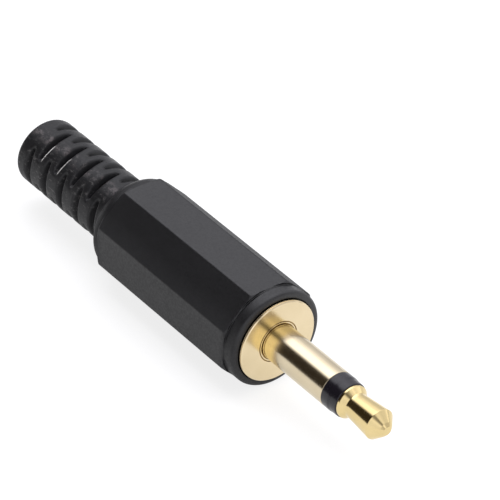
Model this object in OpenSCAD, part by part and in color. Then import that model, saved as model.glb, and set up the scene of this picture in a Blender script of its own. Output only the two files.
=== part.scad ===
// Mono jack plug for a cable: a turned, plated contact pin with a flange,
// an insulated tip contact, two solder terminals, and an eight-sided moulded
// barrel with a slotted strain relief that screws on over the terminals.
// Millimetres. The pin's axis is X, the tip points along +X, Z is up, and the
// origin is on the axis at the flange's front face. The plug lies on a flat.

/* [Sleeve and flange] */
// Diameter of the sleeve contact
sleeve_d = 3.5; // [3.4:0.05:3.6]
// Length of the sleeve in front of the flange
sleeve_len = 8.05; // [7:0.05:9]
// Size of the small fillet where the sleeve meets the flange
sleeve_fillet = 0.12; // [0.08:0.01:0.2]
// Diameter of the flange
flange_d = 8.0; // [7.8:0.1:8.2]
// Thickness of the flange
flange_t = 0.9; // [0.8:0.05:1.1]
// How far the flange stands in front of the barrel
flange_proud = 0.32; // [0.28:0.02:0.4]

/* [Insulating ring and tip] */
// Length of the insulating ring
ring_len = 1.9; // [1.6:0.05:2.4]
// Length of the ring's rear lip, flush with the sleeve
ring_lip = 0.95; // [0.5:0.05:1.2]
// Diameter of the ring past its lip
ring_d = 3.38; // [3.3:0.02:3.46]
// Length of the tip contact in front of the ring
tip_len = 4.9; // [4.5:0.05:5.2]
// Diameter of the tip's head
tip_d = 2.96; // [2.8:0.02:3.1]
// Diameter of the neck behind the head
neck_d = 2.4; // [2.3:0.05:2.45]
// Diameter of the tip's shank
shank_d = 1.2; // [1:0.05:1.4]

/* [Screw body] */
// Diameter over the thread, as a plain cylinder
thread_d = 6.7; // [6.4:0.1:6.8]
// Rear end of the threaded part, behind the flange's front
thread_end = 6.2; // [5.5:0.1:7]
// Diameter of the rear spigot that carries the ground terminal
spigot_d = 4.0; // [3.6:0.1:4.4]
// Diameter of the bore for the insulating tube
core_bore_d = 2.3; // [2.1:0.05:2.4]

/* [Terminals] */
// Thickness of the terminals' sheet
sheet_t = 0.4; // [0.3:0.05:0.5]
// Inner radius of the cable clamp's trough
clamp_r = 1.95; // [1.8:0.05:2]
// Length of the cable clamp
clamp_len = 4.0; // [3:0.1:4.5]
// Diameter of the solder holes
solder_hole_d = 1.1; // [0.9:0.05:1.2]

/* [Barrel] */
// Width of the barrel across its flats
barrel_af = 9.5; // [9.4:0.02:9.6]
// Diameter of the round collar in front of the flats
collar_d = 9.48; // [9.4:0.02:9.5]
// Diameter of the barrel's bore
barrel_bore_d = 6.8; // [6.76:0.02:6.9]
// Where the flats run out at the front, behind the flange's front
flat_front = 1.58; // [1.5:0.02:1.8]
// Where the flats run out at the rear
flat_rear = 19.7; // [19.5:0.05:19.9]
// Where the rear dome starts
dome_start = 20.4; // [20.3:0.05:20.6]

/* [Strain relief] */
// Outer diameter of the strain relief
boot_d = 6.6; // [6.4:0.1:6.7]
// Bore of the strain relief
boot_bore_d = 4.8; // [4.6:0.1:5]
// Rear end of the strain relief, behind the flange's front
boot_end = 35.3; // [35:0.1:36]
// Number of slot levels
slot_levels = 9; // [7:2:9]
// Distance between slot levels
slot_pitch = 1.26; // [1.2:0.01:1.28]
// Width of a slot along the axis, at the outside
slot_w = 0.9; // [0.8:0.02:0.94]
// How much each wall of a slot leans, as run over rise
slot_lean = 0.42; // [0.3:0.02:0.44]
// Half of a slot's angle at the outside, in degrees
slot_half = 38; // [32:1:40]
// Turn of the first row of slots, in degrees from +Y towards +Z
slot_phase = 174; // [150:1:180]

/* [Hidden] */
fine = 96;

sr = sleeve_d / 2;
ring_end = sleeve_len + ring_len;
tip_end = ring_end + tip_len;
front = -flange_proud;               // front face of the barrel
seat = -flange_t;                    // rear face of the flange
flat_r = barrel_af / 2;
corner_r = flat_r / cos(22.5);
collar_r = collar_d / 2;
rear_r = flat_r - 0.02;               // round shoulder behind the flats
boot_r = boot_d / 2;
bore_r = boot_bore_d / 2;
barrel_bore_r = barrel_bore_d / 2;
dome_rad = 1.5;
blend_rad = 1.0;
dome_cr = rear_r - dome_rad;
blend_ang = acos((boot_r + blend_rad - dome_cr) / (dome_rad + blend_rad));
slot_first = -(boot_end - 1.82 - (slot_levels - 1) * slot_pitch);
spigot_end = -(thread_end + 1.2);
washer_t = 0.5;
tip_plate = spigot_end - washer_t;   // front face of the tip terminal's plate
clamp_back = -17.6;
strip_z = -(clamp_r + sheet_t);      // underside of the ground strip

// points along an arc, as [x, r] pairs
function arc(cx, cr, rad, a0, a1, n) =
    [for (i = [0:n]) let (a = a0 + (a1 - a0) * i / n) [cx + rad * cos(a), cr + rad * sin(a)]];

// a turned solid from [x, r] pairs, about the X axis
module turned(pts) {
    rotate([0, 90, 0]) rotate_extrude($fn = fine)
        polygon([for (p = pts) [p[1], p[0]]]);
}

// a straight round bar from x0 to x1
module bar(x0, x1, r) {
    translate([x0, 0, 0]) rotate([0, 90, 0]) cylinder(h = x1 - x0, r = r, $fn = fine);
}

// an outline in the Y-Z plane, drawn out along X from x0 to x1
module along_x(x0, x1) {
    translate([x0, 0, 0]) rotate([90, 0, 90]) linear_extrude(height = x1 - x0) children();
}

// one slot of the strain relief, pointing up, narrower at the bore both ways
module slot_prism(x) {
    yo = boot_r * sin(slot_half);
    zo = boot_r * cos(slot_half);
    yi = bore_r * sin(slot_half - 7);
    zi = bore_r * cos(slot_half - 7);
    k = (yo - yi) / (zo - zi);
    z0 = max(zi - 0.13, boot_r - (slot_w / 2 - 0.05) / slot_lean);
    z1 = boot_r + 0.3;
    wide = slot_w / 2 + slot_lean * (z1 - boot_r);
    thin = slot_w / 2 - slot_lean * (boot_r - z0);
    intersection() {
        along_x(x - 1, x + 1)
            polygon([[-(yi + k * (z0 - zi)), z0], [yi + k * (z0 - zi), z0],
                     [yo + k * (z1 - zo), z1], [-(yo + k * (z1 - zo)), z1]]);
        translate([x, 6, 0]) rotate([90, 0, 0]) linear_extrude(height = 12)
            polygon([[-thin, z0], [thin, z0], [wide, z1], [-wide, z1]]);
    }
}

// three slots on each level, and every second level turned by 60 degrees
module slots() {
    for (i = [0:slot_levels - 1])
        for (k = [0:2])
            rotate([slot_phase - 90 + 120 * k - 60 * (i % 2), 0, 0])
                slot_prism(slot_first - i * slot_pitch);
}

// the barrel's outside: flats between two round collars, dome, strain relief
module barrel_skin() {
    intersection() {
        along_x(-flat_rear - 0.75, -flat_front + 0.2)
            rotate(22.5) circle(r = corner_r, $fn = 8);
        turned([[-flat_rear - 0.75, 0], [-flat_rear - 0.75, rear_r - 0.02],
                [-flat_rear - 0.4, corner_r + 0.02], [-flat_front + 0.02, corner_r + 0.02],
                [-flat_front + 0.2, collar_r - 0.02], [-flat_front + 0.2, 0]]);
    }
    turned(concat(
        [[front, 0], [front, collar_r - 0.28]],
        arc(front - 0.28, collar_r - 0.28, 0.28, 0, 90, 6),
        [[-flat_front + 0.1, collar_r], [-flat_front - 0.4, flat_r - 0.2],
         [-flat_rear + 0.5, flat_r - 0.2], [-flat_rear - 0.3, rear_r]],
        arc(-dome_start, dome_cr, dome_rad, 90, 90 + blend_ang, 10),
        arc(-dome_start - (dome_rad + blend_rad) * sin(blend_ang), boot_r + blend_rad, blend_rad,
            -90 + blend_ang, -90, 8),
        arc(-boot_end + 0.45, boot_r - 0.45, 0.45, 90, 180, 6),
        [[-boot_end, 0]]));
}

// Eight-sided moulded barrel with its strain relief, one moulding
module barrel() {
    color([0.1, 0.1, 0.11])
    difference() {
        barrel_skin();
        // seat for the flange, screw bore, and the throat into the strain relief
        turned([[1, 0], [1, flange_d / 2 + 0.08], [seat - 0.03, flange_d / 2 + 0.08],
                [seat - 0.03, barrel_bore_r + 0.12], [seat - 0.15, barrel_bore_r],
                [-18.8, barrel_bore_r], [-20.4, bore_r + 0.2], [-boot_end + 1.1, bore_r], [-boot_end + 0.15, bore_r],
                [-boot_end - 0.05, bore_r + 0.2], [-boot_end - 1, bore_r + 0.2], [-boot_end - 1, 0]]);
        slots();
    }
}

// Turned body: sleeve contact, flange, screw thread and rear spigot
module sleeve_body() {
    color([0.86, 0.72, 0.45])
    difference() {
        turned(concat(
            [[spigot_end, 0], [spigot_end, spigot_d / 2], [-thread_end, spigot_d / 2],
             [-thread_end, thread_d / 2 - 0.3], [-thread_end + 0.3, thread_d / 2],
             [seat - 0.7, thread_d / 2], [seat - 0.5, thread_d / 2 - 0.35], [seat, thread_d / 2 - 0.35],
             [seat, flange_d / 2 - 0.15], [seat + 0.08, flange_d / 2 - 0.07],
             [-flange_proud + 0.02, flange_d / 2 - 0.07], [-flange_proud + 0.08, flange_d / 2],
             [-0.1, flange_d / 2]],
            arc(-0.1, flange_d / 2 - 0.1, 0.1, 75, 0, 5),
            [[0, sr + sleeve_fillet], [0.3 * sleeve_fillet, sr + 0.3 * sleeve_fillet], [sleeve_fillet, sr],
             [sleeve_len - 0.08, sr], [sleeve_len, sr - 0.06], [sleeve_len, 0]]));
        bar(spigot_end - 1, sleeve_len + 1, core_bore_d / 2);
    }
}

// Turned tip contact with its long shank, headed over at the rear
module tip_contact() {
    color([0.86, 0.72, 0.45])
    turned([
         [tip_plate - sheet_t - 0.45, 0], [tip_plate - sheet_t - 0.45, 0.5],
         [tip_plate - sheet_t - 0.3, 0.85], [tip_plate - sheet_t, 0.95],
         [tip_plate - sheet_t, shank_d / 2], [ring_end, shank_d / 2],
         [ring_end, 1.5], [ring_end + 0.06, 1.58], [ring_end + 0.2, 1.6],
         [ring_end + 0.25, 1.58], [ring_end + 0.7, neck_d / 2 + 0.04], [ring_end + 0.8, neck_d / 2 + 0.006],
         [ring_end + 0.95, neck_d / 2 + 0.004],
         [tip_end - 1.13, tip_d / 2 - 0.01], [tip_end - 1.1, tip_d / 2], [tip_end - 1.07, tip_d / 2 - 0.03],
         [tip_end - 0.25, 0.72], [tip_end - 0.15, 0.62], [tip_end - 0.06, 0.48], [tip_end - 0.015, 0.3],
         [tip_end, 0]]);
}

// Moulded ring between the sleeve and the tip
module tip_ring_insulator() {
    color([0.07, 0.07, 0.08])
    difference() {
        turned([[sleeve_len, 0], [sleeve_len, sr - 0.06], [sleeve_len + 0.06, sr - 0.012], [sleeve_len + ring_lip - 0.05, sr],
                [sleeve_len + ring_lip + 0.03, ring_d / 2 + 0.012], [ring_end - 0.2, ring_d / 2 - 0.012],
                [ring_end - 0.07, ring_d / 2 - 0.05], [ring_end, ring_d / 2 - 0.16], [ring_end, 0]]);
        bar(sleeve_len - 1, ring_end + 1, shank_d / 2 + 0.02);
    }
}

// Thin tube that insulates the shank inside the sleeve body
module core_insulator_tube() {
    color([0.9, 0.88, 0.82])
    difference() {
        bar(spigot_end + 0.05, sleeve_len - 0.05, core_bore_d / 2 - 0.03);
        bar(spigot_end - 1, sleeve_len + 1, shank_d / 2 + 0.02);
    }
}

// Washer between the screw body and the tip terminal
module rear_insulating_washer() {
    color([0.55, 0.35, 0.2])
    difference() {
        bar(tip_plate, spigot_end, 1.85);
        bar(tip_plate - 1, spigot_end + 1, shank_d / 2 + 0.02);
    }
}

// Stamped solder tag on the tip's shank
module tip_terminal() {
    x1 = tip_plate;
    x0 = x1 - sheet_t;
    z1 = 1.55;
    color([0.82, 0.78, 0.66])
    difference() {
        union() {
            bar(x0, x1, 1.6);
            along_x(x0, x1) polygon([[-1.1, 0], [1.1, 0], [1.1, z1], [-1.1, z1]]);
            translate([x1 - 4.6 + 1.1, -1.1, z1 - sheet_t]) cube([4.6 - 1.1, 2.2, sheet_t]);
            translate([x1 - 4.6 + 1.1, 0, z1 - sheet_t]) cylinder(h = sheet_t, r = 1.1, $fn = fine);
        }
        bar(x0 - 1, x1 + 1, shank_d / 2 + 0.02);
        translate([x1 - 4.6 + 1.1, 0, z1 - sheet_t - 1]) cylinder(h = sheet_t + 2, d = solder_hole_d, $fn = fine);
    }
}

// Stamped ground terminal: ring, strip with a solder hole, and cable clamp
module ground_terminal() {
    x1 = -thread_end;
    x0 = x1 - sheet_t;
    open = 62;                        // half of the trough's opening, in degrees
    color([0.82, 0.78, 0.66])
    difference() {
        union() {
            bar(x0, x1, 2.95);
            translate([clamp_back + clamp_len - 0.5, -1.3, strip_z])
                cube([x1 - clamp_back - clamp_len + 0.5, 2.6, sheet_t]);
            difference() {
                bar(clamp_back, clamp_back + clamp_len, clamp_r + sheet_t);
                bar(clamp_back - 1, clamp_back + clamp_len + 1, clamp_r);
                along_x(clamp_back - 1, clamp_back + clamp_len + 1)
                    polygon([[0, 0], [4 * sin(open), 4 * cos(open)], [4 * sin(open), 5], [-4 * sin(open), 5],
                             [-4 * sin(open), 4 * cos(open)]]);
            }
        }
        bar(x0 - 1, x1 + 1, spigot_d / 2 + 0.02);
        translate([-10.6, 0, strip_z - 1]) cylinder(h = sheet_t + 2, d = solder_hole_d, $fn = fine);
    }
}

barrel();
sleeve_body();
tip_contact();
tip_ring_insulator();
core_insulator_tube();
rear_insulating_washer();
tip_terminal();
ground_terminal();
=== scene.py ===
import math

import bpy
import numpy as np
from mathutils import Matrix, Vector


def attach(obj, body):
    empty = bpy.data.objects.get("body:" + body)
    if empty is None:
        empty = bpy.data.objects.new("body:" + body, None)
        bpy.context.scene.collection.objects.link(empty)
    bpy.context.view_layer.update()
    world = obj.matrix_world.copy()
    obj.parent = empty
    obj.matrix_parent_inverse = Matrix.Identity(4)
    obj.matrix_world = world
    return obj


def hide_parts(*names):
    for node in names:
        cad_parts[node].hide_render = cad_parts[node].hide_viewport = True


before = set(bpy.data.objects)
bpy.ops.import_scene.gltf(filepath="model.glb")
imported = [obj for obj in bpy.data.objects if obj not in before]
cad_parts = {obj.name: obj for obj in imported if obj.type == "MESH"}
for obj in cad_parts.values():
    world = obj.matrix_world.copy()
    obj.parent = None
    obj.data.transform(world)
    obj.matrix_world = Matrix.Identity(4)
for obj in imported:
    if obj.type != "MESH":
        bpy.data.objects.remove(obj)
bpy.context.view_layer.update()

MM = 0.001
rad = math.radians

# ----------------------------------------------------------------------------
# sizes, in millimetres: the plug's axis is X, the tip points along +X
# ----------------------------------------------------------------------------
SLEEVE_R, SLEEVE_LEN = 1.75, 8.05
FLANGE_R, FLANGE_T, PROUD = 4.0, 0.9, 0.32
RING_LEN, RING_LIP, RING_R = 1.9, 0.95, 1.69
TIP_LEN, TIP_R, NECK_R, SHANK_R = 4.9, 1.48, 1.2, 0.6
THREAD_R, THREAD_END, SPIGOT_R, CORE_R = 3.35, 6.2, 2.0, 1.15
SHEET, CLAMP_R, CLAMP_LEN, CLAMP_BACK, SOLDER_R = 0.4, 1.95, 4.0, -17.6, 0.55
FLAT_R, COLLAR_R, REAR_R, BORE_R = 4.75, 4.74, 4.746, 3.4
CORNER_R = FLAT_R / math.cos(math.radians(22.5))
FLAT_FRONT, FLAT_REAR, DOME = -1.58, -19.7, -20.4
BOOT_R, BOOT_BORE, BOOT_END = 3.3, 2.4, -35.3
LEVELS, PITCH, SLOT_W, SLOT_LEAN, SLOT_HALF, PHASE = 9, 1.26, 0.9, 0.42, 38.0, 174.0
THREAD_PITCH, THREAD_DEPTH = 0.75, 0.36
RING_END = SLEEVE_LEN + RING_LEN
TIP_END = RING_END + TIP_LEN
SPIGOT_END = -(THREAD_END + 1.2)
PLATE = SPIGOT_END - 0.5
SLOT_FIRST = BOOT_END + 1.82 + (LEVELS - 1) * PITCH
FLOOR_Z = -FLAT_R - 0.005


# ----------------------------------------------------------------------------
# mesh helpers
# ----------------------------------------------------------------------------
def add_mesh(name, verts, faces, normals=None):
    me = bpy.data.meshes.new(name)
    me.from_pydata((np.asarray(verts, float) * MM).tolist(), [], faces)
    me.polygons.foreach_set("use_smooth", np.ones(len(me.polygons), bool))
    me.update()
    if normals is not None:
        me.normals_split_custom_set_from_vertices(np.asarray(normals, float).tolist())
    ob = bpy.data.objects.new(name, me)
    bpy.context.scene.collection.objects.link(ob)
    return ob


def rounded(points):
    """A closed outline of (x, r, radius) corners, run anticlockwise in (x, r): every corner gets an arc of its radius.
    Returns rows of x, r and the outward normal."""
    n = len(points)
    rows = []
    for i in range(n):
        p = np.array(points[i][:2], float)
        a = np.array(points[i - 1][:2], float) - p
        b = np.array(points[(i + 1) % n][:2], float) - p
        la, lb = np.linalg.norm(a), np.linalg.norm(b)
        a, b = a / la, b / lb
        ang = math.acos(max(-1.0, min(1.0, float(a @ b))))
        na, nb = np.array([-a[1], a[0]]), np.array([b[1], -b[0]])
        if ang > math.pi - 1e-3:
            rows.append((*p, *nb))
            continue
        t = min(points[i][2] / math.tan(ang / 2), 0.49 * la, 0.49 * lb)
        radius = t * math.tan(ang / 2)
        if radius < 1e-4:
            m = na + nb
            rows.append((*p, *(m / np.linalg.norm(m))))
            continue
        mid = (a + b) / np.linalg.norm(a + b)
        c = p + mid * (radius / math.sin(ang / 2))
        bulge = 1.0 if float((p - c) @ (na + nb)) > 0 else -1.0
        start, end = p + a * t - c, p + b * t - c
        a0, turn = math.atan2(start[1], start[0]), math.atan2(start[0] * end[1] - start[1] * end[0], float(start @ end))
        steps = max(3, int(abs(turn) / rad(11)))
        for k in range(steps + 1):
            w = a0 + turn * k / steps
            d = np.array([math.cos(w), math.sin(w)])
            rows.append((*(c + d * radius), *(d * bulge)))
    return np.array(rows)


def lathe(name, rows, turns=192, shift=None):
    """A turned piece from a closed outline. shift(x, angle) moves the radius, as a thread does."""
    th = np.linspace(0, 2 * math.pi, turns, endpoint=False)
    verts, normals, start, ring = [], [], [], []
    count = 0
    for x, r, nx, nr in rows:
        if r < 1e-4:
            verts.append([[x, 0.0, 0.0]])
            normals.append([[math.copysign(1, nx), 0, 0]])
            start.append(count)
            ring.append(False)
            count += 1
            continue
        rr = np.full(turns, r)
        moved = np.zeros(turns)
        if shift is not None:
            moved = shift(np.full(turns, x), th, r)
            rr = rr + moved
        verts.append(np.stack([np.full(turns, x), rr * np.cos(th), rr * np.sin(th)], -1))
        nn = np.stack([np.full(turns, nx), nr * np.cos(th), nr * np.sin(th)], -1)
        if shift is not None and shift(np.array([x]), np.array([0.0]), r, True):
            nn = nn * 0.0
        normals.append(nn)
        start.append(count)
        ring.append(True)
        count += turns
    verts, normals = np.concatenate(verts), np.concatenate(normals)
    faces = []
    m = len(rows)
    for i in range(m):
        j = (i + 1) % m
        if not ring[i] and not ring[j]:
            continue
        for k in range(turns):
            q = (k + 1) % turns
            if ring[i] and ring[j]:
                faces.append((start[i] + k, start[j] + k, start[j] + q, start[i] + q))
            elif ring[i]:
                faces.append((start[i] + k, start[j], start[i] + q))
            else:
                faces.append((start[i], start[j] + k, start[j] + q))
    ob = add_mesh(name, verts, faces)
    me = ob.data
    # turn every face outwards, then give each vertex its true normal
    probe = next((p for p in me.polygons if normals[p.vertices[0]].any() and normals[p.vertices[2]].any()), None)
    if probe is not None and float(np.array(probe.normal) @ normals[probe.vertices[0]]) < 0:
        me.flip_normals()
    me.normals_split_custom_set_from_vertices(normals.tolist())
    return ob


def smax(a, b, k):
    h = np.clip(0.5 + 0.5 * (a - b) / k, 0.0, 1.0)
    return b + (a - b) * h + k * h * (1.0 - h)


def smin(a, b, k):
    return -smax(-a, -b, k)


def skin(name, field, xs, ths, rs, rounds=5):
    """The surface where field(x, angle, r) is nought, on a grid of stations, angles and radii, with true normals."""
    nx, nt, nr = len(xs), len(ths), len(rs)
    grid = np.meshgrid(xs, ths, rs, indexing="ij")
    val = field(*grid)
    tw = np.append(ths, ths[0] + 2 * math.pi)
    v = np.concatenate([val, val[:, :1]], axis=1)
    ins = v < 0
    corners = [(a, b, c) for a in (0, 1) for b in (0, 1) for c in (0, 1)]
    cut = lambda arr, a, b, c: arr[a : nx - 1 + a, b : nt + b, c : nr - 1 + c]
    total = sum(cut(ins, *k).astype(np.int8) for k in corners)
    active = (total > 0) & (total < 8)
    ci, cj, ck = np.nonzero(active)
    acc, cnt = np.zeros((len(ci), 3)), np.zeros(len(ci))
    for axis in range(3):
        for a, b, c in corners:
            if (a, b, c)[axis]:
                continue
            e = [a, b, c]
            e[axis] = 1
            p0, p1 = (ci + a, cj + b, ck + c), (ci + e[0], cj + e[1], ck + e[2])
            f0, f1 = v[p0], v[p1]
            hit = (f0 < 0) != (f1 < 0)
            t = np.where(hit, f0 / np.where(f0 == f1, 1.0, f0 - f1), 0.0)
            q0 = np.stack([xs[p0[0]], tw[p0[1]], rs[p0[2]]], -1)
            q1 = np.stack([xs[p1[0]], tw[p1[1]], rs[p1[2]]], -1)
            acc += np.where(hit[:, None], q0 + (q1 - q0) * t[:, None], 0.0)
            cnt += hit
    pts = acc / cnt[:, None]
    ids = np.full(active.shape, -1, np.int64)
    ids[ci, cj, ck] = np.arange(len(ci))
    faces = []

    def emit(i, j, k, offs, inward):
        q = np.stack([ids[i + a, (j + b) % nt, k + c] for a, b, c in offs], -1)
        q = np.where(inward[:, None], q, q[:, ::-1])
        faces.append(q)

    # edges along x
    m = ins[:-1, :nt, 1:-1] != ins[1:, :nt, 1:-1]
    i, j, k = np.nonzero(m)
    emit(i, j, k, [(0, -1, 0), (0, 0, 0), (0, 0, 1), (0, -1, 1)], ins[i, j, k + 1])
    # edges along the angle
    m = ins[1:-1, :nt, 1:-1] != ins[1:-1, 1 : nt + 1, 1:-1]
    i, j, k = np.nonzero(m)
    emit(i, j, k, [(0, 0, 0), (0, 0, 1), (1, 0, 1), (1, 0, 0)], ins[i + 1, j, k + 1])
    # edges along r
    m = ins[1:-1, :nt, :-1] != ins[1:-1, :nt, 1:]
    i, j, k = np.nonzero(m)
    emit(i, j, k, [(0, -1, 0), (1, -1, 0), (1, 0, 0), (0, 0, 0)], ins[i + 1, j, k])
    faces = np.concatenate(faces)
    x, th, r = pts.T
    p = np.stack([x, r * np.cos(th), r * np.sin(th)], -1)
    at = lambda q: field(q[:, 0], np.arctan2(q[:, 2], q[:, 1]), np.hypot(q[:, 1], q[:, 2]))
    return settle(name, p, faces, at, rounds)


def solid(name, field, lo, hi, step, rounds=5):
    """The surface where field(points) is nought, on an even grid between two corners, with true normals."""
    axes = [np.arange(a - 1.6 * step, b + 2.6 * step, step) for a, b in zip(lo, hi)]
    n = [len(a) for a in axes]
    v = field(np.stack(np.meshgrid(*axes, indexing="ij"), -1).reshape(-1, 3)).reshape(n)
    ins = v < 0
    corners = [(a, b, c) for a in (0, 1) for b in (0, 1) for c in (0, 1)]
    cut = lambda arr, k: arr[k[0] : n[0] - 1 + k[0], k[1] : n[1] - 1 + k[1], k[2] : n[2] - 1 + k[2]]
    total = sum(cut(ins, k).astype(np.int8) for k in corners)
    active = (total > 0) & (total < 8)
    cell = np.nonzero(active)
    acc, cnt = np.zeros((len(cell[0]), 3)), np.zeros(len(cell[0]))
    for axis in range(3):
        for k in corners:
            if k[axis]:
                continue
            e = list(k)
            e[axis] = 1
            p0 = tuple(c + d for c, d in zip(cell, k))
            p1 = tuple(c + d for c, d in zip(cell, e))
            f0, f1 = v[p0], v[p1]
            hit = (f0 < 0) != (f1 < 0)
            t = np.where(hit, f0 / np.where(f0 == f1, 1.0, f0 - f1), 0.0)
            q0 = np.stack([axes[a][p0[a]] for a in range(3)], -1)
            q1 = np.stack([axes[a][p1[a]] for a in range(3)], -1)
            acc += np.where(hit[:, None], q0 + (q1 - q0) * t[:, None], 0.0)
            cnt += hit
    ids = np.full(active.shape, -1, np.int64)
    ids[cell] = np.arange(len(cell[0]))
    faces = []
    for axis in range(3):
        b, c = (axis + 1) % 3, (axis + 2) % 3
        lo_i, hi_i = [slice(1, -1)] * 3, [slice(1, -1)] * 3
        lo_i[axis], hi_i[axis] = slice(0, -1), slice(1, None)
        i = np.array(np.nonzero(ins[tuple(lo_i)] != ins[tuple(hi_i)]))
        i[b] += 1
        i[c] += 1
        quad = []
        for db, dc in ((-1, -1), (0, -1), (0, 0), (-1, 0)):
            j = i.copy()
            j[b] += db
            j[c] += dc
            quad.append(ids[tuple(j)])
        quad = np.stack(quad, -1)
        faces.append(np.where(ins[tuple(i)][:, None], quad, quad[:, ::-1]))
    return settle(name, acc / cnt[:, None], np.concatenate(faces), field, rounds)


def settle(name, p, faces, at, rounds):
    """Brings every vertex on to the surface and gives it the surface's normal."""

    def slope(q, h=2e-3):
        g = np.empty_like(q)
        for a in range(3):
            d = np.zeros(3)
            d[a] = h
            g[:, a] = (at(q + d) - at(q - d)) / (2 * h)
        return g

    for _ in range(rounds):
        g = slope(p)
        step = -at(p)[:, None] * g / np.maximum((g * g).sum(1), 0.05)[:, None]
        size = np.linalg.norm(step, axis=1)[:, None]
        p = p + step * np.minimum(1.0, 0.06 / np.maximum(size, 1e-9))
    g = slope(p)
    g /= np.maximum(np.linalg.norm(g, axis=1), 1e-9)[:, None]
    ob = add_mesh(name, p, faces.tolist())
    me = ob.data
    votes = sum(
        1 if float(np.array(me.polygons[f].normal) @ g[me.polygons[f].vertices[0]]) > 0 else -1
        for f in range(0, len(me.polygons), max(1, len(me.polygons) // 500))
    )
    if votes < 0:
        me.flip_normals()
    me.normals_split_custom_set_from_vertices(g.tolist())
    return ob


# ----------------------------------------------------------------------------
# the barrel: flats between two collars, domed shoulder, slotted strain relief
# ----------------------------------------------------------------------------
DOME_RAD, BLEND_RAD = 1.5, 1.0
DOME_CR = REAR_R - DOME_RAD
BLEND = math.acos((BOOT_R + BLEND_RAD - DOME_CR) / (DOME_RAD + BLEND_RAD))
BLEND_X = DOME - (DOME_RAD + BLEND_RAD) * math.sin(BLEND)


def shoulder(x):
    """Radius of the rear collar, the dome and the strain relief, and its slope along x."""
    r = np.full_like(x, REAR_R)
    s = np.zeros_like(x)
    xd = DOME - DOME_RAD * math.sin(BLEND)
    m = (x < DOME) & (x >= xd)
    u = x[m] - DOME
    r[m] = DOME_CR + np.sqrt(DOME_RAD**2 - u**2)
    s[m] = -u / np.sqrt(DOME_RAD**2 - u**2)
    m = (x < xd) & (x > BLEND_X)
    u = x[m] - BLEND_X
    r[m] = BOOT_R + BLEND_RAD - np.sqrt(BLEND_RAD**2 - u**2)
    s[m] = u / np.sqrt(BLEND_RAD**2 - u**2)
    m = x <= BLEND_X
    r[m] = BOOT_R
    s[m] = 0.0
    return r, s


def slope_cut(x, r, x0, r0, x1, r1):
    """Distance above the cone through (x0, r0) and (x1, r1)."""
    k = (r1 - r0) / (x1 - x0)
    return (r - r0 - (x - x0) * k) / math.sqrt(1 + k * k)


def barrel_field(x, th, r):
    # the eight flats, with softened corners, run out on short cones
    fold = np.abs((np.degrees(th) + 22.5) % 45.0 - 22.5)
    d0 = r * np.cos(np.radians(fold)) - FLAT_R
    d1 = r * np.cos(np.radians(45.0 - fold)) - FLAT_R
    oct_ = smax(d0, d1, 0.07)
    oct_ = smax(oct_, slope_cut(x, r, FLAT_FRONT - 0.12, CORNER_R + 0.02, FLAT_FRONT + 0.2, COLLAR_R - 0.02), 0.12)
    oct_ = smax(oct_, slope_cut(x, r, FLAT_REAR - 0.75, REAR_R - 0.02, FLAT_REAR - 0.4, CORNER_R + 0.02), 0.1)
    # front collar, with a fine line where the flats end
    col = smax(r - COLLAR_R, x + PROUD, 0.4)
    col = smax(col, slope_cut(x, r, FLAT_FRONT - 0.4, FLAT_R - 0.2, FLAT_FRONT + 0.1, COLLAR_R), 0.05)
    # rear shoulder, dome and strain relief
    rs, sl = shoulder(x)
    back = (r - rs) / np.sqrt(1 + sl * sl)
    back = smax(back, slope_cut(x, r, FLAT_REAR - 0.3, REAR_R, FLAT_REAR + 0.5, FLAT_R - 0.2), 0.06)
    back = smax(back, BOOT_END - x, 0.5)
    f = np.minimum(smin(oct_, col, 0.04), back)
    line = np.hypot(x - (FLAT_FRONT + 0.06), r - (COLLAR_R + 0.03)) - 0.085
    f = smax(f, -line, 0.04)
    # seat for the flange, screw bore, throat and cable bore
    seat = np.maximum(r - (FLANGE_R + 0.08), -(FLANGE_T + 0.03) - x)
    turn = 0.5 + 0.5 * np.cos(2 * math.pi * (x / THREAD_PITCH + th / (2 * math.pi)))
    turn = 0.2 * turn**1.4 * np.clip((-1.15 - x) / 0.3, 0, 1) * np.clip((x + 6.9) / 0.5, 0, 1)
    throat = np.where(
        x > -18.8,
        (r - BORE_R - turn) * np.where(turn > 1e-6, 0.75, 1.0),
        np.where(
            x > -20.4,
            (r - np.interp(x, [-20.4, -18.8], [BOOT_BORE + 0.2, BORE_R])) * 0.894,
            r - np.interp(x, [BOOT_END + 1.1, -20.4], [BOOT_BORE, BOOT_BORE + 0.2]),
        ),
    )
    f = smax(f, -seat, 0.07)
    f = smax(f, -throat, 0.14)
    # the slots, narrower towards the bore
    yo, zo = BOOT_R * math.sin(rad(SLOT_HALF)), BOOT_R * math.cos(rad(SLOT_HALF))
    yi, zi = BOOT_BORE * math.sin(rad(SLOT_HALF - 7)), BOOT_BORE * math.cos(rad(SLOT_HALF - 7))
    k = (yo - yi) / (zo - zi)
    for i in range(LEVELS):
        xc = SLOT_FIRST - i * PITCH
        m = np.abs(x - xc) < SLOT_W / 2 + 0.4
        if not m.any():
            continue
        xm, tm, rm = x[m], th[m], r[m]
        best = None
        for q in range(3):
            c = rad(PHASE + 120 * q - 60 * (i % 2))
            yy, zz = np.abs(rm * np.sin(tm - c)), rm * np.cos(tm - c)
            side = (yy - (yo + k * (zz - zo))) / math.sqrt(1 + k * k)
            wall = (np.abs(xm - xc) - SLOT_W / 2 + SLOT_LEAN * (BOOT_R - zz)) / math.sqrt(1 + SLOT_LEAN**2)
            one = smax(smax(wall, side, 0.26), BOOT_R - (SLOT_W / 2 - 0.05) / SLOT_LEAN - zz, 0.05)
            best = one if best is None else np.minimum(best, one)
        f[m] = smax(f[m], -best, 0.2)
    return f


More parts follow.
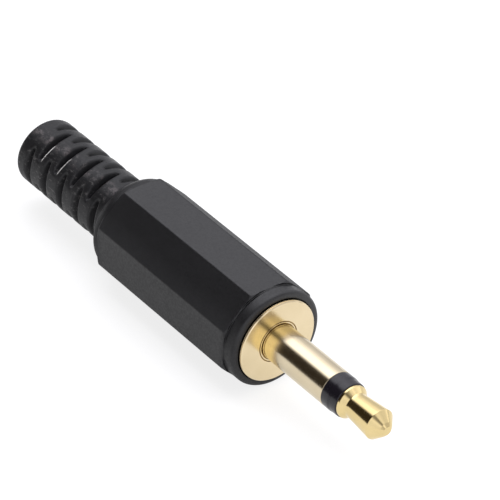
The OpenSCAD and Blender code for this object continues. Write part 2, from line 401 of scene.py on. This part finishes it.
def stations():
    step = PITCH / 10.5
    boot = SLOT_FIRST + step * np.arange(-115, 13)
    xs = [
        np.arange(-0.22, -2.3, -0.085),
        np.arange(-2.42, -7.1, -0.19),
        np.arange(-7.8, -18.6, -1.1),
        np.arange(-18.75, boot.max() - 0.05, -0.15) if boot.max() < -18.75 else [],
        boot[boot > BOOT_END - 0.15],
    ]
    return np.unique(np.round(np.concatenate(xs), 4))


def angles():
    near = np.array([0.4, 1.1, 2.3, 4.1, 6.4, 8.8, 11.2, 13.6, 16.0, 18.4, 21.0])
    return np.sort(np.concatenate([rad(22.5 + 45 * k) + np.radians(np.concatenate([-near, near])) for k in range(8)]))


barrel = skin(
    "barrel_moulding",
    barrel_field,
    stations(),
    angles(),
    np.concatenate([np.arange(2.28, 3.4, 0.1), np.arange(3.42, 5.35, 0.13)]),
)
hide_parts("barrel")
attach(barrel, "barrel_shell")


# ----------------------------------------------------------------------------
# turned pieces
# ----------------------------------------------------------------------------
def thread_shift(x, th, r, ask=False):
    on = (r > THREAD_R - 0.02) & (x > -THREAD_END + 0.05) & (x < -FLANGE_T - 0.55) & (r < THREAD_R + 0.02)
    if ask:
        return bool(on[0])
    u = (x / THREAD_PITCH + th / (2 * math.pi)) % 1.0
    tooth = np.clip(np.abs(u - 0.5) * 2.6 - 0.15, 0.0, 1.0)
    fade = np.clip((-FLANGE_T - 0.62 - x) / 0.25, 0, 1) * np.clip((x + THREAD_END - 0.25) / 0.2, 0, 1)
    return np.where(on, -THREAD_DEPTH * (1 - tooth) * fade, 0.0)


def with_thread(rows):
    """Splits the long run of the screw part into fine stations."""
    out = []
    m = len(rows)
    for i in range(m):
        out.append(rows[i])
        j = (i + 1) % m
        if rows[i][1] > THREAD_R - 0.01 and rows[j][1] > THREAD_R - 0.01 and abs(rows[i][1] - rows[j][1]) < 1e-6 and abs(rows[j][0] - rows[i][0]) > 2 and rows[i][1] < THREAD_R + 0.01:
            n = int(abs(rows[j][0] - rows[i][0]) / 0.05)
            for k in range(1, n):
                out.append(rows[i] + (rows[j] - rows[i]) * k / n)
    return np.array(out)


sleeve = lathe(
    "sleeve_and_flange",
    with_thread(
        rounded(
            [
                (SPIGOT_END, CORE_R, 0.04),
                (SLEEVE_LEN, CORE_R, 0.03),
                (SLEEVE_LEN, SLEEVE_R, 0.05),
                (0.03, SLEEVE_R, 0.01),
                (-0.08, SLEEVE_R + 0.01, 0.01),
                (-0.08, SLEEVE_R + 0.07, 0.01),
                (0.0, SLEEVE_R + 0.09, 0.012),
                (0.0, SLEEVE_R + 0.19, 0.012),
                (-0.08, SLEEVE_R + 0.21, 0.01),
                (-0.08, SLEEVE_R + 0.28, 0.01),
                (0.0, SLEEVE_R + 0.3, 0.012),
                (0.0, FLANGE_R - 0.1, 0.02),
                (-0.09, FLANGE_R, 0.02),
                (-0.13, FLANGE_R - 0.06, 0.015),
                (-0.18, FLANGE_R - 0.06, 0.015),
                (-0.2, FLANGE_R, 0.015),
                (-0.25, FLANGE_R, 0.03),
                (-0.3, FLANGE_R - 0.07, 0.02),
                (-FLANGE_T, FLANGE_R - 0.07, 0.07),
                (-FLANGE_T, THREAD_R - 0.35, 0.05),
                (-FLANGE_T - 0.5, THREAD_R - 0.35, 0.04),
                (-FLANGE_T - 0.7, THREAD_R, 0.03),
                (-THREAD_END + 0.3, THREAD_R, 0.03),
                (-THREAD_END, THREAD_R - 0.3, 0.03),
                (-THREAD_END, SPIGOT_R, 0.03),
                (SPIGOT_END, SPIGOT_R, 0.08),
            ]
        )
    ),
    turns=208,
    shift=thread_shift,
)
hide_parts("sleeve_body")
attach(sleeve, "plug_core")

tip = lathe(
    "tip_turned",
    rounded(
        [
            (PLATE - SHEET - 0.45, 0.0, 0.0),
            (RING_END * 0.5, 0.0, 0.0),
            (TIP_END, 0.0, 0.0),
            (TIP_END, 0.4, 0.22),
            (TIP_END - 0.25, 0.72, 0.25),
            (TIP_END - 1.1, TIP_R, 0.03),
            (RING_END + 0.95, NECK_R + 0.004, 0.3),
            (RING_END + 0.74, NECK_R + 0.01, 0.1),
            (RING_END + 0.23, 1.6, 0.05),
            (RING_END, 1.6, 0.07),
            (RING_END, SHANK_R, 0.02),
            (PLATE - SHEET, SHANK_R, 0.02),
            (PLATE - SHEET, 0.95, 0.05),
            (PLATE - SHEET - 0.45, 0.7, 0.25),
        ]
    ),
    turns=176,
)
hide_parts("tip_contact")
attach(tip, "plug_core")

ring = lathe(
    "tip_ring",
    rounded(
        [
            (SLEEVE_LEN, SHANK_R + 0.02, 0.02),
            (RING_END, SHANK_R + 0.02, 0.02),
            (RING_END, RING_R - 0.01, 0.1),
            (SLEEVE_LEN + RING_LIP + 0.2, RING_R + 0.008, 0.3),
            (SLEEVE_LEN + RING_LIP - 0.1, SLEEVE_R - 0.002, 0.3),
            (SLEEVE_LEN, SLEEVE_R - 0.012, 0.05),
        ]
    ),
    turns=160,
)
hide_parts("tip_ring_insulator")
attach(ring, "plug_core")

tube = lathe(
    "shank_tube",
    rounded(
        [
            (SPIGOT_END + 0.05, SHANK_R + 0.02, 0.04),
            (SLEEVE_LEN - 0.05, SHANK_R + 0.02, 0.04),
            (SLEEVE_LEN - 0.05, CORE_R - 0.03, 0.08),
            (SPIGOT_END + 0.05, CORE_R - 0.03, 0.08),
        ]
    ),
    turns=96,
)
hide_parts("core_insulator_tube")
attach(tube, "plug_core")

washer = lathe(
    "laminate_washer",
    rounded(
        [
            (PLATE, SHANK_R + 0.02, 0.03),
            (SPIGOT_END, SHANK_R + 0.02, 0.03),
            (SPIGOT_END, 1.85, 0.05),
            (SPIGOT_END - 0.25, 1.85, 0.0),
            (PLATE, 1.85, 0.05),
        ]
    ),
    turns=128,
)
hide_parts("rear_insulating_washer")
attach(washer, "plug_core")


# ----------------------------------------------------------------------------
# stamped terminals: rounded bends, rolled edges, punched holes
# ----------------------------------------------------------------------------
def box_field(p, lo, hi, k):
    lo, hi = np.array(lo), np.array(hi)
    d = np.abs(p - (lo + hi) / 2) - (hi - lo) / 2
    return smax(smax(d[:, 0], d[:, 1], k), d[:, 2], k)


def tip_tag_field(p):
    x, y, z = p.T
    r = np.hypot(y, z)
    z1, x1, x0 = 1.55, PLATE, PLATE - SHEET
    end = x1 - 4.6 + 1.1
    plate = np.minimum(r - 1.6, np.maximum(np.abs(y) - 1.1, np.maximum(-z, z - z1)))
    plate = smax(plate, np.abs(x - (x0 + x1) / 2) - SHEET / 2, 0.07)
    # the tongue, with a bend of its own radius
    shape = np.where(x < end, np.hypot(x - end, y) - 1.1, np.abs(y) - 1.1)
    tongue = smax(smax(shape, np.abs(z - (z1 - SHEET / 2)) - SHEET / 2, 0.07), x - x1, 0.07)
    f = smin(plate, tongue, 0.22)
    bend = np.where((x > x0 - 0.02) & (z > z1 - SHEET - 0.02), np.hypot(x - x0 + 0.02, z - (z1 - SHEET) + 0.02) - (SHEET + 0.02), -1.0)
    f = smax(f, bend, 0.03)
    f = smax(f, SHANK_R + 0.02 - r, 0.06)
    return smax(f, SOLDER_R - np.hypot(x - end, y), 0.1)


def ground_field(p):
    x, y, z = p.T
    r = np.hypot(y, z)
    x1 = -THREAD_END
    ring_ = smax(r - 2.95, np.abs(x - x1 + SHEET / 2) - SHEET / 2, 0.07)
    ring_ = smax(ring_, SPIGOT_R + 0.02 - r, 0.07)
    low = -(CLAMP_R + SHEET)
    strip = box_field(p, (CLAMP_BACK + CLAMP_LEN - 0.5, -1.3, low), (x1, 1.3, low + SHEET), 0.08)
    strip = smax(strip, np.where(x > -THREAD_END - 2, SPIGOT_R + 0.02 - r, -1.0), 0.05)
    trough = smax(np.abs(r - CLAMP_R - SHEET / 2) - SHEET / 2, np.abs(x - CLAMP_BACK - CLAMP_LEN / 2) - CLAMP_LEN / 2, 0.08)
    # the two wings, each rounded off at its corners
    wing = (np.degrees(np.arctan2(np.abs(y), -z)) - (180 - 62)) * rad(1) * (CLAMP_R + SHEET / 2)
    reach = np.abs(x - CLAMP_BACK - CLAMP_LEN / 2) - CLAMP_LEN / 2
    trough = smax(trough, smax(wing, reach, 0.9), 0.08)
    f = smin(smin(ring_, strip, 0.2), trough, 0.25)
    return smax(f, SOLDER_R - np.where(z < 0, np.hypot(x + 10.6, y), 9.0), 0.1)


tip_tag = solid("tip_tag", tip_tag_field, (PLATE - 4.6, -1.6, -1.6), (PLATE, 1.6, 1.6), 0.09)
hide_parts("tip_terminal")
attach(tip_tag, "plug_core")

ground_tag = solid("ground_tag", ground_field, (CLAMP_BACK, -2.95, -2.95), (-THREAD_END, 2.95, 2.95), 0.1)
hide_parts("ground_terminal")
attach(ground_tag, "plug_core")


# ----------------------------------------------------------------------------
# materials
# ----------------------------------------------------------------------------
class Nodes:
    def __init__(self, name):
        self.mat = bpy.data.materials.new(name)
        self.mat.use_nodes = True
        self.tree = self.mat.node_tree
        self.bsdf = self.tree.nodes["Principled BSDF"]
        self.coord = self.tree.nodes.new("ShaderNodeTexCoord").outputs["Object"]

    def new(self, kind, **props):
        n = self.tree.nodes.new(kind)
        for k, v in props.items():
            setattr(n, k, v)
        return n

    def link(self, a, b):
        self.tree.links.new(a, b)

    def noise(self, scale, stretch=(1, 1, 1), detail=3.0, rough=0.5):
        m = self.new("ShaderNodeMapping")
        m.inputs["Scale"].default_value = stretch
        self.link(self.coord, m.inputs["Vector"])
        n = self.new("ShaderNodeTexNoise")
        n.inputs["Scale"].default_value = scale
        n.inputs["Detail"].default_value = detail
        n.inputs["Roughness"].default_value = rough
        self.link(m.outputs["Vector"], n.inputs["Vector"])
        return n.outputs["Fac"]

    def ramp(self, fac, stops):
        r = self.new("ShaderNodeValToRGB")
        e = r.color_ramp.elements
        while len(e) < len(stops):
            e.new(0.5)
        for el, (pos, col) in zip(e, stops):
            el.position = pos
            el.color = (*col, 1.0) if len(col) == 3 else col
        self.link(fac, r.inputs["Fac"])
        return r.outputs["Color"]

    def span(self, fac, lo, hi, a=0.0, b=1.0):
        r = self.new("ShaderNodeMapRange")
        r.inputs["From Min"].default_value = a
        r.inputs["From Max"].default_value = b
        r.inputs["To Min"].default_value = lo
        r.inputs["To Max"].default_value = hi
        self.link(fac, r.inputs["Value"])
        return r.outputs["Result"]

    def add(self, a, b, op="ADD"):
        n = self.new("ShaderNodeMath", operation=op)
        self.link(a, n.inputs[0])
        if isinstance(b, (int, float)):
            n.inputs[1].default_value = b
        else:
            self.link(b, n.inputs[1])
        return n.outputs[0]

    def bump(self, height, distance, strength=1.0, after=None):
        n = self.new("ShaderNodeBump")
        n.inputs["Distance"].default_value = distance
        n.inputs["Strength"].default_value = strength
        self.link(height, n.inputs["Height"])
        if after is not None:
            self.link(after, n.inputs["Normal"])
        return n.outputs["Normal"]

    def dot(self, way):
        n = self.new("ShaderNodeVectorMath", operation="DOT_PRODUCT")
        n.inputs[1].default_value = way
        self.link(self.coord, n.inputs[0])
        return n.outputs["Value"]

    def blend(self, color, other, fac):
        n = self.new("ShaderNodeMixRGB")
        n.inputs[2].default_value = (*other, 1.0)
        self.link(color, n.inputs[1])
        self.link(fac, n.inputs[0])
        return n.outputs[0]

    def mix(self, color, other, fac):
        n = self.new("ShaderNodeMixRGB")
        self.link(color, n.inputs[1])
        self.link(other, n.inputs[2])
        self.link(fac, n.inputs[0])
        return n.outputs[0]

    def out(self, socket, name):
        self.link(socket, self.bsdf.inputs[name])


def gilt(name, dark, light, rough=(0.11, 0.19), sleeve=None):
    m = Nodes(name)
    m.bsdf.inputs["Metallic"].default_value = 1.0
    cloud = m.noise(420, detail=4)
    rings = m.noise(1.0, (16000, 260, 260), detail=2)
    color = m.ramp(cloud, [(0.3, dark), (0.7, light)])
    if sleeve is not None:
        # painted shade: the sleeve is given a darker, paler copy of the flange's gold, standing in for the dimmer floor
        # it reflects
        color = m.mix(color, m.ramp(cloud, [(0.3, sleeve[0]), (0.7, sleeve[1])]), m.span(m.dot((1, 0, 0)), 0.0, 1.0, 0.0002, 0.0008))
        # painted reflection: the sleeve's foot is painted a brighter gold, brightest low down, standing in for the
        # flange's bright reflection in it
        foot_sheen = m.add(m.span(m.dot((1, 0, 0)), 0.0, 1.0, 0.00004, 0.0001), m.span(m.dot((1, 0, 0)), 1.0, 0.0, 0.0011, 0.0016), "MULTIPLY")
        color = m.blend(color, (0.81, 0.68, 0.34), m.add(foot_sheen, 0.75, "MULTIPLY"))
        foot_sheen = m.add(foot_sheen, m.span(m.dot((0, -0.774, -0.632)), 0.0, 1.0, 0.0, 0.0004), "MULTIPLY")
        color = m.blend(color, (0.96, 0.81, 0.44), foot_sheen)
        # painted shade: the two fine grooves at the sleeve's foot are painted dark brown
        flat = m.new("ShaderNodeVectorMath", operation="MULTIPLY")
        flat.inputs[1].default_value = (0, 1, 1)
        m.link(m.coord, flat.inputs[0])
        radius = m.new("ShaderNodeVectorMath", operation="LENGTH")
        m.link(flat.outputs[0], radius.inputs[0])
        foot = m.add(m.span(m.dot((1, 0, 0)), 1.0, 0.0, -0.00004, -0.00001), m.span(radius.outputs["Value"], 1.0, 0.0, 0.00212, 0.0022), "MULTIPLY")
        color = m.blend(color, (0.30, 0.19, 0.06), m.add(foot, m.span(m.dot((1, 0, 0)), 0.0, 1.0, -0.0002, -0.00015), "MULTIPLY"))
    m.out(color, "Base Color")
    m.out(m.span(m.add(m.add(cloud, rings), 0.5, "MULTIPLY"), rough[0], rough[1], 0.3, 0.7), "Roughness")
    m.out(m.bump(rings, 4e-7, 0.6, m.bump(m.noise(900, detail=2), 2.5e-6, 0.5)), "Normal")
    return m.mat


def moulded(name, dark, light, rough=(0.34, 0.5), grain=2.2e-6, gloss=0.5, scuffs_and_glints=False):
    m = Nodes(name)
    m.bsdf.inputs["Specular IOR Level"].default_value = gloss
    cloud = m.noise(260, detail=5, rough=0.6)
    fine = m.noise(5200, detail=3)
    color = m.ramp(cloud, [(0.3, dark), (0.75, light)])
    rub = m.span(fine, rough[0], rough[1], 0.3, 0.7)
    if scuffs_and_glints:
        # duller on the sides turned down, pale rubbed patches on the strain relief, and pale slot edges on one side of
        # it: partly rubbed wear, partly a painted highlight (glints)
        flats = m.add(m.span(m.dot((1, 0, 0)), 0.0, 1.0, -0.0205, -0.0195), m.span(m.dot((1, 0, 0)), 1.0, 0.0, -0.0022, -0.0016), "MULTIPLY")
        down = m.span(m.dot((0, -0.8, -0.6)), 0.0, 1.0, 0.0008, 0.0028)
        rub = m.add(rub, m.add(down, m.add(m.span(flats, 0.27, 0.17), m.span(m.dot((1, 0, 0)), 0.14, 0.0, -0.0226, -0.0216), "SUBTRACT"), "MULTIPLY"))
        rub = m.add(rub, m.span(m.dot((0, 0.707, 0.707)), 0.0, 0.22, 0.00462, 0.00472))
        around = lambda deg: (0, math.cos(rad(deg)), math.sin(rad(deg)))
        across = lambda deg: (0, -math.sin(rad(deg)), math.cos(rad(deg)))
        boot = m.span(m.dot((1, 0, 0)), 1.0, 0.0, -0.0226, -0.0216)
        patch = m.span(m.add(m.dot(across(112)), 0.0, "ABSOLUTE"), 1.0, 0.0, 0.0001, 0.00075)
        patch = m.add(patch, m.span(m.dot(around(112)), 0.0, 1.0, 0.003, 0.0032), "MULTIPLY")
        patch = m.add(patch, m.span(m.noise(1500, (0.8, 1, 1), detail=6, rough=0.75), 0.0, 1.0, 0.47, 0.62), "MULTIPLY")
        rubbed_edge_glint = m.add(m.dot((1, SLOT_LEAN * -math.cos(rad(PHASE - 60)), SLOT_LEAN * -math.sin(rad(PHASE - 60)))), -MM * (SLOT_FIRST - PITCH + SLOT_W / 2 + 0.1 - SLOT_LEAN * BOOT_R))
        rubbed_edge_glint = m.span(m.add(rubbed_edge_glint, PITCH * MM, "PINGPONG"), 1.0, 0.0, 0.00003, 0.0001)
        rubbed_edge_glint = m.add(rubbed_edge_glint, m.span(m.dot(around(132)), 0.0, 1.0, 0.00312, 0.0032), "MULTIPLY")
        rubbed_edge_glint = m.add(rubbed_edge_glint, m.span(m.dot((1, 0, 0)), 1.0, 0.0, -0.0285, -0.0275), "MULTIPLY")
        rubbed_edge_glint = m.add(rubbed_edge_glint, m.span(m.dot((1, 0, 0)), 0.0, 1.0, -0.0333, -0.0329), "MULTIPLY")
        rubbed_edge_glint = m.add(rubbed_edge_glint, m.span(m.noise(2600, detail=4, rough=0.7), 0.0, 1.0, 0.38, 0.5), "MULTIPLY")
        flecks = m.span(m.noise(2600, (0.45, 1, 1), detail=6, rough=0.8), 0.0, 0.9, 0.55, 0.66)
        flecks = m.add(flecks, m.span(m.dot(around(160)), 0.0, 1.0, 0.0016, 0.0028), "MULTIPLY")
        color = m.blend(color, (0.105, 0.1, 0.098), m.add(flecks, boot, "MULTIPLY"))
        color = m.blend(color, (0.155, 0.135, 0.135), m.add(m.add(patch, boot, "MULTIPLY"), 0.85, "MULTIPLY"))
        # painted highlight: near-white glints along the slot edges, partly rubbed wear
        color = m.blend(color, (0.75, 0.73, 0.70), m.add(rubbed_edge_glint, boot, "MULTIPLY"))
    m.out(color, "Base Color")
    m.out(rub, "Roughness")
    normal = m.bump(fine, grain, 0.7, m.bump(m.noise(700, detail=2), 9e-6, 0.4))
    if scuffs_and_glints:
        # the strain relief's skin is uneven
        normal = m.bump(m.add(m.noise(1500, (0.7, 1, 1), detail=5, rough=0.68), boot, "MULTIPLY"), 7e-5, 0.7, normal)
    m.out(normal, "Normal")
    return m.mat


# the last pair is the sleeve's gold: a painted-shade copy, darker than the flange's
gold = gilt("gilt_turned", (0.715, 0.588, 0.375), (0.765, 0.637, 0.418), (0.17, 0.23), ((0.60, 0.51, 0.35), (0.646, 0.556, 0.392)))
tip_gold = gilt("gilt_tip", (0.70, 0.553, 0.268), (0.755, 0.602, 0.302), (0.14, 0.21))
tag_gold = gilt("gilt_stamped", (0.62, 0.50, 0.31), (0.72, 0.59, 0.38), (0.2, 0.34))
black = moulded("black_moulding", (0.0105, 0.0105, 0.0115), (0.015, 0.0148, 0.016), gloss=0.455, scuffs_and_glints=True)
boot_black = moulded("black_relief", (0.0105, 0.0105, 0.0115), (0.015, 0.0148, 0.016), gloss=0.31, scuffs_and_glints=True)
ring_black = moulded("black_ring", (0.0085, 0.0074, 0.0105), (0.0125, 0.0105, 0.016), (0.2, 0.28), 0.6e-6, gloss=0.42)
white_tube = moulded("natural_tube", (0.68, 0.65, 0.58), (0.78, 0.76, 0.70), (0.35, 0.5))
brown = moulded("brown_laminate", (0.19, 0.085, 0.035), (0.26, 0.13, 0.06), (0.4, 0.6))


def paint(ob, mat):
    ob.data.materials.clear()
    ob.data.materials.append(mat)


for ob, mat in (
    (barrel, black),
    (sleeve, gold),
    (tip, tip_gold),
    (ring, ring_black),
    (tube, white_tube),
    (washer, brown),
    (tip_tag, tag_gold),
    (ground_tag, tag_gold),
):
    paint(ob, mat)
# the dome and the strain relief are duller than the flats
barrel.data.materials.append(boot_black)
middle = np.empty(len(barrel.data.polygons) * 3)
barrel.data.polygons.foreach_get("center", middle)
barrel.data.polygons.foreach_set("material_index", (middle.reshape(-1, 3)[:, 0] < -20.25 * MM).astype(np.int32))

# ----------------------------------------------------------------------------
# floor, light and camera
# ----------------------------------------------------------------------------
floor_mesh = bpy.data.meshes.new("floor")
S = 0.9
floor_mesh.from_pydata([(-S, -S, FLOOR_Z * MM), (S, -S, FLOOR_Z * MM), (S, S, FLOOR_Z * MM), (-S, S, FLOOR_Z * MM)], [], [(0, 1, 2, 3)])
floor = bpy.data.objects.new("floor", floor_mesh)
bpy.context.scene.collection.objects.link(floor)
fm = Nodes("pale_floor")
# evenly bright around the plug, dimmer far behind it
far = fm.dot((-1, 0, 0))
fm.out(fm.ramp(fm.add(fm.noise(6.0), fm.span(far, 0.0, 1.0, 0.06, 0.22), "SUBTRACT"), [(0.0, (0.2, 0.2, 0.2)), (0.3, (0.30, 0.30, 0.30)), (0.7, (0.32, 0.32, 0.32))]), "Base Color")
fm.bsdf.inputs["Emission Color"].default_value = (1.0, 1.0, 1.0, 1.0)
fm.out(fm.span(far, 0.8, 0.45, 0.06, 0.2), "Emission Strength")
fm.bsdf.inputs["Roughness"].default_value = 0.9
fm.bsdf.inputs["Specular IOR Level"].default_value = 0.1
paint(floor, fm.mat)

world = bpy.data.worlds.new("studio")
bpy.context.scene.world = world
world.use_nodes = True
wt = world.node_tree
bg = wt.nodes["Background"]
tc = wt.nodes.new("ShaderNodeTexCoord")


def lobe(way, a, b, value):
    """A bright patch of sky: from nought at cosine a to value at cosine b around a direction."""
    d = wt.nodes.new("ShaderNodeVectorMath")
    d.operation = "DOT_PRODUCT"
    d.inputs[1].default_value = Vector(way).normalized()
    wt.links.new(tc.outputs["Generated"], d.inputs[0])
    r = wt.nodes.new("ShaderNodeMapRange")
    r.interpolation_type = "SMOOTHSTEP"
    for name, v in (("From Min", a), ("From Max", b), ("To Min", 0.0), ("To Max", value)):
        r.inputs[name].default_value = v
    wt.links.new(d.outputs["Value"], r.inputs["Value"])
    return r.outputs["Result"]


def times(a, b):
    n = wt.nodes.new("ShaderNodeMath")
    n.operation = "MULTIPLY"
    wt.links.new(a, n.inputs[0])
    if isinstance(b, float):
        n.inputs[1].default_value = b
    else:
        wt.links.new(b, n.inputs[1])
    return n.outputs[0]


def shade(way, lo, hi, stops):
    """A slow fall of light across the sky: values at cosines between lo and hi to a direction."""
    fac = lobe(way, lo, hi, 1.0)
    fac.node.interpolation_type = "LINEAR"
    r = wt.nodes.new("ShaderNodeValToRGB")
    e = r.color_ramp.elements
    while len(e) < len(stops):
        e.new(0.5)
    for el, (pos, v) in zip(e, stops):
        el.position = (pos - lo) / (hi - lo)
        el.color = (v, v, v, 1.0)
    wt.links.new(fac, r.inputs["Fac"])
    return r.outputs["Color"]


# one large soft box above and behind, brightest overhead, fills from the front, and a dim warm room
box = times(lobe((-0.35, 0.62, 0.70), 0.47, 0.67, 1.0), shade((0, -0.6, 0.8), -0.5, 0.8, [(-0.42, 0.28), (-0.29, 0.34), (-0.04, 0.41), (0.15, 0.61), (0.267, 0.635), (0.42, 0.93)]))
box = times(box, shade((-1, 0, 0), 0.5, 1.0, [(0.65, 1.0), (0.80, 0.46), (0.9, 0.2)]))
box = times(box, shade((1, 0, 0), 0.0, 1.0, [(0.2, 1.0), (0.42, 0.2)]))
glow = wt.nodes.new("ShaderNodeMath")
glow.operation = "ADD"
wt.links.new(times(box, 2.6), glow.inputs[0])
fills = wt.nodes.new("ShaderNodeMath")
fills.operation = "ADD"
wt.links.new(lobe((0.7, 0.55, 0.42), 0.75, 0.80, 0.76), fills.inputs[0])
wt.links.new(lobe((0.62, -0.7, 0.3), 0.85, 0.95, 1.1), fills.inputs[1])
dim = wt.nodes.new("ShaderNodeMath")
dim.operation = "ADD"
wt.links.new(fills.outputs[0], dim.inputs[0])
wt.links.new(lobe((0.63, -0.3, 0.72), 0.82, 0.96, 0.15), dim.inputs[1])
front = wt.nodes.new("ShaderNodeMath")
front.operation = "ADD"
wt.links.new(dim.outputs[0], front.inputs[0])
wt.links.new(lobe((0.95, -0.12, 0.28), 0.90, 0.96, 0.6), front.inputs[1])
collar = wt.nodes.new("ShaderNodeMath")
collar.operation = "ADD"
wt.links.new(front.outputs[0], collar.inputs[0])
wt.links.new(lobe((0.45, 0.12, 0.88), 0.90, 0.97, 0.38), collar.inputs[1])
low = wt.nodes.new("ShaderNodeMath")
low.operation = "ADD"
wt.links.new(collar.outputs[0], low.inputs[0])
wt.links.new(lobe((0.17, 0.98, 0.07), 0.955, 0.988, 0.34), low.inputs[1])
wt.links.new(low.outputs[0], glow.inputs[1])
bg.inputs["Color"].default_value = (0.962, 0.966, 1.03, 1.0)
wt.links.new(glow.outputs[0], bg.inputs["Strength"])
room = wt.nodes.new("ShaderNodeBackground")
room.inputs["Color"].default_value = (1.0, 0.78, 0.55, 1.0)
room.inputs["Strength"].default_value = 0.034
both = wt.nodes.new("ShaderNodeAddShader")
wt.links.new(bg.outputs[0], both.inputs[0])
wt.links.new(room.outputs[0], both.inputs[1])
wt.links.new(both.outputs[0], wt.nodes["World Output"].inputs["Surface"])

# the camera stands in front of the tip, above and to the left of it
AZ, EL, DIST, FOCAL, U0, V0, ROLL = -38.39, 36.84, 288.8, 3286.0, 217.14, 291.07, 2.78
ref = Vector((-9.0, 0, 0))
d = Vector((math.cos(rad(EL)) * math.cos(rad(AZ)), math.cos(rad(EL)) * math.sin(rad(AZ)), math.sin(rad(EL))))
eye = ref + d * DIST
fwd = -d
right = fwd.cross(Vector((0, 0, 1))).normalized()
up = right.cross(fwd)
n = (fwd - right * ((U0 - 250) / FOCAL) + up * ((V0 - 250) / FOCAL)).normalized()
right = n.cross(Vector((0, 0, 1))).normalized()
up = right.cross(n)
c, s = math.cos(rad(ROLL)), math.sin(rad(ROLL))
right, up = right * c + up * s, up * c - right * s
cam_data = bpy.data.cameras.new("camera")
cam_data.sensor_width = 36.0
cam_data.lens = FOCAL * 36.0 / 500.0
cam_data.clip_start, cam_data.clip_end = 0.01, 10.0
cam = bpy.data.objects.new("camera", cam_data)
bpy.context.scene.collection.objects.link(cam)
m = Matrix((right, up, -n)).transposed().to_4x4()
m.translation = eye * MM
cam.matrix_world = m
bpy.context.scene.camera = cam
bpy.context.scene.view_settings.view_transform = "Standard"
